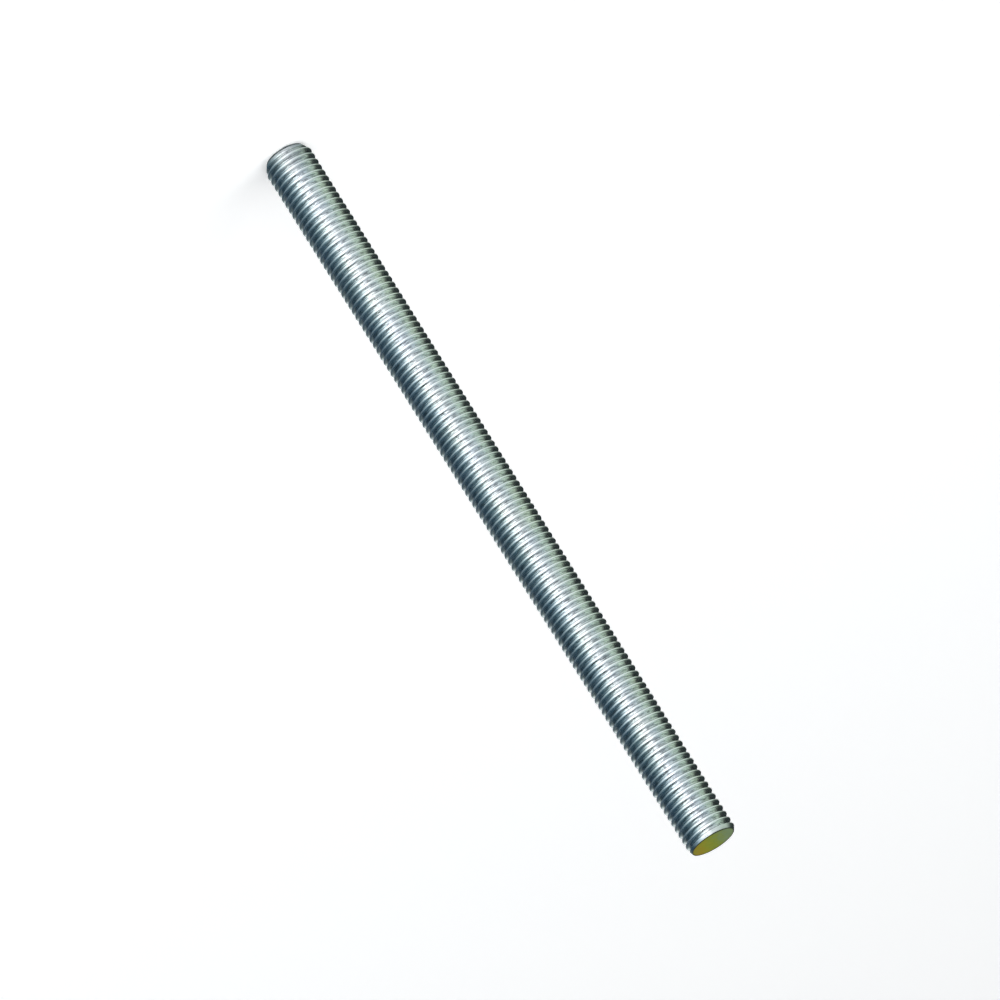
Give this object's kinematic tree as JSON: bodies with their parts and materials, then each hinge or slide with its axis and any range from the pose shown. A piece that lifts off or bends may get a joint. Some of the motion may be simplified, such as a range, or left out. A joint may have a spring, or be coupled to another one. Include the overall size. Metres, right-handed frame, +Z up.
{
  "type": "threaded rod",
  "caption": "Straight steel rod with a right-hand screw thread over its whole length, chamfered at both ends and marked with paint on one face.",
  "frame": {"origin": "middle of the flat face at the foot, where the rod stands", "axes": "+Z up along the rod's axis, towards the painted face"},
  "size_m": [0.0188, 0.0188, 0.3048],
  "materials": {
    "zinc_plated_steel": "bright zinc plating over a rolled steel thread, slightly blue-grey",
    "marking_paint": "thin coat of yellow-green paint brushed on the top face"
  },
  "bodies": {
    "root": {"threaded_rod": "zinc_plated_steel"}
  },
  "joints": []
}
